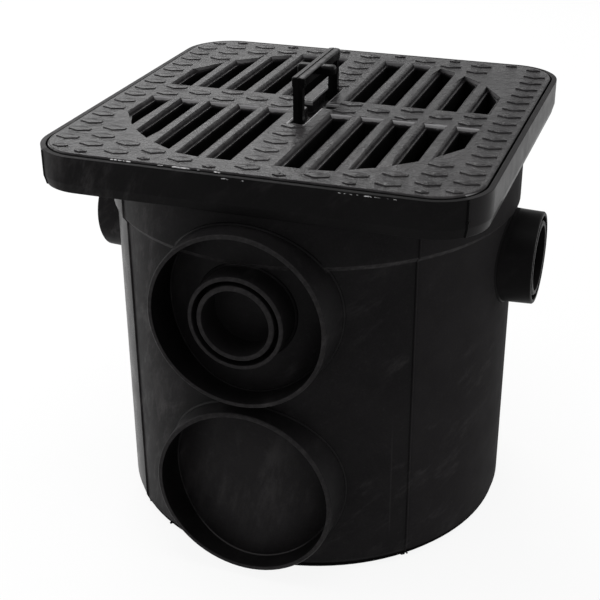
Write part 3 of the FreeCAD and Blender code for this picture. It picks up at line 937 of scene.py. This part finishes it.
def root_fillet(m, direction, axis_height, radius, size, reach=None):
    """A concave fillet in the corner between a pipe ring and the round sump.

    A ring's outside widens from its mouth at reach; without a reach the fillet lies in a bore.
    """
    bpy.ops.mesh.primitive_torus_add(
        major_segments=FILLET_AROUND, minor_segments=FILLET_SECTION,
        major_radius=radius, minor_radius=size)
    fillet = bpy.context.object
    turn = Matrix.Rotation(math.radians(direction), 4, "Z")
    grow = size if reach else -size
    for number, vertex in enumerate(fillet.data.vertices):
        spin = 2 * math.pi * (number // FILLET_SECTION) / FILLET_AROUND
        step = number % FILLET_SECTION
        if step == FILLET_SECTION - 1:
            out, lift = -FILLET_SUNK, -FILLET_SUNK
        else:
            bend = math.pi / 2 * step / (FILLET_SECTION - 2)
            out, lift = 1 - math.sin(bend), 1 - math.cos(bend)
        wall = wall_radius(m, axis_height + radius * math.sin(spin))
        depth = math.sqrt(wall ** 2 - (radius * math.cos(spin)) ** 2)
        draft = m.ring_draft * (reach - depth) if reach else 0
        wide = radius + draft + grow * out
        across = wide * math.cos(spin)
        depth = math.sqrt(wall ** 2 - across ** 2) + size * lift
        vertex.co = turn @ Vector((across, -depth, axis_height + wide * math.sin(spin)))
    bpy.ops.object.mode_set(mode="EDIT")
    turn_outward()
    bpy.ops.object.shade_smooth_by_angle(angle=math.radians(60))
    return fillet


class DRAINBOX_OT_root_fillets(bpy.types.Operator):
    """Adds the fillets at the roots and the floors of the pipe rings"""

    bl_idname = "drainbox.root_fillets"
    bl_label = "Add root fillets"

    def execute(self, context):
        m = context.scene.drain_box_marks
        root, floor = m.root_fillet, m.root_fillet * BORE_FILLET_SHARE
        rings = (
            ("upper_ring_root", 0, m.upper_axis, m.upper_radius, root, m.upper_reach),
            ("upper_ring_floor", 0, m.upper_axis, m.upper_bore, floor, None),
            ("lower_ring_root", 0, m.lower_axis, m.lower_radius, root, m.lower_reach),
            ("lower_ring_floor", 0, m.lower_axis, m.lower_bore, floor, None),
            ("front_stub_root", 0, m.upper_axis, m.stub_radius, root, m.upper_reach),
            ("right_stub_root", 90, m.upper_axis, m.stub_radius, root, m.stub_reach),
            ("left_stub_root", -90, m.upper_axis, m.stub_radius, root, m.stub_reach),
        )
        for name, *place in rings:
            keep(root_fillet(m, *place), name, "basin plastic")
        return {"FINISHED"}


# Where torn slivers start and end along the front edge, in millimetres from the middle.
SEAM_SLIVERS = (
    (-87.4, -85.2), (-84.6, -82.8), (-81.9, -79.4), (-78.6, -77.2), (-76.4, -73.2),
    (-55.0, -51.0), (-45.2, -39.4), (-39.8, -33.0), (-28.2, -26.2), (-17.2, -12.8),
)
RIM_SLIVERS = (
    (-11.2, -5.0), (2.6, 4.6), (63.6, 66.0), (67.2, 68.6), (70.4, 73.4), (75.0, 76.4),
    (79.0, 85.4), (85.0, 91.2), (93.4, 95.0), (97.2, 100.2),
)
# A sliver's depth, its height and how much that varies, in metres.
SLIVER_DEPTH, SLIVER_HEIGHT, SLIVER_SPREAD = 0.00085, 0.0005, 0.0002
# The most that a sliver is turned about its length and leans, in degrees.
SLIVER_TURN, SLIVER_LEAN = 35, 1.5


def placed_sliver(sliver, line, start, end, number):
    """A copy of the sliver between two places along the front edge.

    The uneven factors of its number keep neighbours from looking alike.
    """
    turn = Matrix.Rotation(math.radians(SLIVER_TURN * math.sin(number * 2.1)), 4, "X")
    lean = Matrix.Rotation(math.radians(SLIVER_LEAN * math.sin(number * 3.7)), 4, "Y")
    height = SLIVER_HEIGHT + SLIVER_SPREAD * math.sin(number * 1.3)
    size = Matrix.Diagonal((end - start, SLIVER_DEPTH, height, 1))
    place = Matrix.Translation(((start + end) / 2, *line))
    return moved_copy(sliver, place @ lean @ turn @ size)


class DRAINBOX_OT_edge_flash(bpy.types.Operator):
    """Adds the ragged flash along the grate's front edge and the tray's rim"""

    bl_idname = "drainbox.edge_flash"
    bl_label = "Add edge flash"

    def execute(self, context):
        m = context.scene.drain_box_marks
        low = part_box("slotted_grate")[0]
        material = torn_flash(context.scene.drain_box_finish)
        # Depth and height of the lines that the slivers follow: the gap beside the grate and
        # the tray's rim.
        seam = (low.y - 0.0003, m.tray_top + 0.0006)
        rim = (0.0004 - m.tray_side / 2, m.tray_top - 0.0012)
        sliver = torn_sliver()
        slivers = []
        for line, bits in ((seam, SEAM_SLIVERS), (rim, RIM_SLIVERS)):
            for number, (start, end) in enumerate(bits):
                slivers.append(placed_sliver(sliver, line, start / 1000, end / 1000, number))
        bpy.data.objects.remove(sliver)
        bpy.ops.object.select_all(action="DESELECT")
        for piece in slivers:
            piece.select_set(True)
        context.view_layer.objects.active = slivers[0]
        bpy.ops.object.join()
        keep(slivers[0], "front_edge_flash", material.name)
        return {"FINISHED"}


# Softboxes: name, place, the point they face, width and height in metres, power in watts.
SOFTBOXES = (
    ("back softbox", (-1.0, 1.38, 1.45), (0, 0, 0.28), (1.2, 0.9), 23),
    ("top softbox", (0.1, -0.35, 2.0), (0, 0, 0.25), (0.9, 0.7), 10),
    ("left softbox", (-1.5, 0.2, 0.7), (0, 0, 0.15), (0.9, 1.2), 9),
    ("right softbox", (1.5, 0.6, 0.6), (0, 0, 0.15), (0.7, 1.0), 2),
)


def area_lamp(name, place, target, size, power):
    """Adds a softbox that faces a point."""
    data = bpy.data.lights.new(name, "AREA")
    data.shape = "RECTANGLE"
    data.size, data.size_y = size
    data.energy = power
    lamp = bpy.data.objects.new(name, data)
    bpy.context.scene.collection.objects.link(lamp)
    lamp.location = place
    lamp.rotation_euler = (Vector(target) - Vector(place)).to_track_quat("-Z", "Y").to_euler()


def seen_directly(tree):
    """One for camera, glossy and transmission rays, which show the white background."""
    path = tree.nodes.new("ShaderNodeLightPath")
    last = path.outputs["Is Camera Ray"]
    for name in ("Is Glossy Ray", "Is Transmission Ray"):
        node = tree.nodes.new("ShaderNodeMath")
        node.operation = "MAXIMUM"
        tree.links.new(last, node.inputs[0])
        tree.links.new(path.outputs[name], node.inputs[1])
        last = node.outputs[0]
    return last


def white_floor(settings):
    """A matt floor that catches soft shadows and otherwise shows as plain white."""
    material = bpy.data.materials.new("floor")
    material.use_nodes = True
    tree = material.node_tree
    add, link = tree.nodes.new, tree.links.new
    tree.nodes.clear()
    output = add("ShaderNodeOutputMaterial")
    matt = add("ShaderNodeBsdfDiffuse")
    matt.inputs["Color"].default_value = (*settings.floor_colour, 1)
    white = add("ShaderNodeEmission")
    share = add("ShaderNodeMath")
    share.operation = "MULTIPLY"
    link(seen_directly(tree), share.inputs[0])
    share.inputs[1].default_value = settings.floor_white
    mix = add("ShaderNodeMixShader")
    for number, source in enumerate((share, matt, white)):
        link(source.outputs[0], mix.inputs[number])
    link(mix.outputs[0], output.inputs["Surface"])
    return material


def studio_world(settings):
    """A room that shows as white and gives a weaker soft light."""
    world = bpy.data.worlds.new("studio")
    world.use_nodes = True
    tree = world.node_tree
    back = tree.nodes["Background"]
    back.inputs["Color"].default_value = (1, 1, 1, 1)
    mix = tree.nodes.new("ShaderNodeMapRange")
    tree.links.new(seen_directly(tree), mix.inputs["Value"])
    mix.inputs["To Min"].default_value = settings.fill
    mix.inputs["To Max"].default_value = 1.0
    tree.links.new(mix.outputs[0], back.inputs["Strength"])
    return world


def photo_camera(settings):
    """The camera at its place, turned by its azimuth, elevation and roll."""
    data = bpy.data.cameras.new("camera")
    data.lens = settings.lens
    data.sensor_width = settings.sensor_width
    camera = bpy.data.objects.new("camera", data)
    az, el, roll = settings.azimuth, settings.elevation, settings.roll
    flat = math.cos(el)
    forward = Vector((-math.sin(az) * flat, math.cos(az) * flat, -math.sin(el)))
    right = Vector((math.cos(az), math.sin(az), 0))
    down = forward.cross(right)
    side = math.cos(roll) * right + math.sin(roll) * down
    up = math.sin(roll) * right - math.cos(roll) * down
    turn = Matrix((side, up, -forward)).transposed().to_4x4()
    camera.matrix_world = Matrix.Translation(settings.place) @ turn
    return camera


class DRAINBOX_OT_stage(bpy.types.Operator):
    """Adds the floor, the lamps and the camera"""

    bl_idname = "drainbox.stage"
    bl_label = "Set the stage"

    def execute(self, context):
        settings = context.scene.drain_box_stage
        scene = context.scene
        scene.view_settings.view_transform = "Standard"
        bpy.ops.mesh.primitive_plane_add(size=settings.floor_size, location=(0, 0, 0))
        floor = context.object
        floor.name = "floor"
        floor.data.materials.append(white_floor(settings))
        scene.world = studio_world(settings)
        for softbox in SOFTBOXES:
            area_lamp(*softbox)
        camera = photo_camera(settings)
        scene.collection.objects.link(camera)
        scene.camera = camera
        return {"FINISHED"}


OPERATORS = (
    DRAINBOX_OT_finish,
    DRAINBOX_OT_tread_grate,
    DRAINBOX_OT_pull_handle,
    DRAINBOX_OT_flash_nubs,
    DRAINBOX_OT_parting_ribs,
    DRAINBOX_OT_root_fillets,
    DRAINBOX_OT_edge_flash,
    DRAINBOX_OT_stage,
)


class DRAINBOX_PT_panel(bpy.types.Panel):
    """Lists the steps in the order in which they run"""

    bl_idname = "DRAINBOX_PT_panel"
    bl_label = "Drain Box"
    bl_space_type = "VIEW_3D"
    bl_region_type = "UI"
    bl_category = "Drain Box"

    def draw(self, context):
        for operator in OPERATORS:
            self.layout.operator(operator.bl_idname)


GROUPS = {
    "drain_box_marks": DrainBoxMarks,
    "drain_box_finish": DrainBoxFinish,
    "drain_box_stage": DrainBoxStage,
}
CLASSES = (*GROUPS.values(), *OPERATORS, DRAINBOX_PT_panel)


def register():
    for cls in CLASSES:
        bpy.utils.register_class(cls)
    for name, group in GROUPS.items():
        setattr(bpy.types.Scene, name, bpy.props.PointerProperty(type=group))


def unregister():
    for name in GROUPS:
        delattr(bpy.types.Scene, name)
    for cls in reversed(CLASSES):
        bpy.utils.unregister_class(cls)


def main():
    register()
    bpy.ops.drainbox.finish()
    bpy.ops.drainbox.tread_grate()
    bpy.ops.drainbox.pull_handle()
    bpy.ops.drainbox.flash_nubs()
    bpy.ops.drainbox.parting_ribs()
    bpy.ops.drainbox.root_fillets()
    bpy.ops.drainbox.edge_flash()
    bpy.ops.drainbox.stage()


if __name__ == "__main__":
    main()
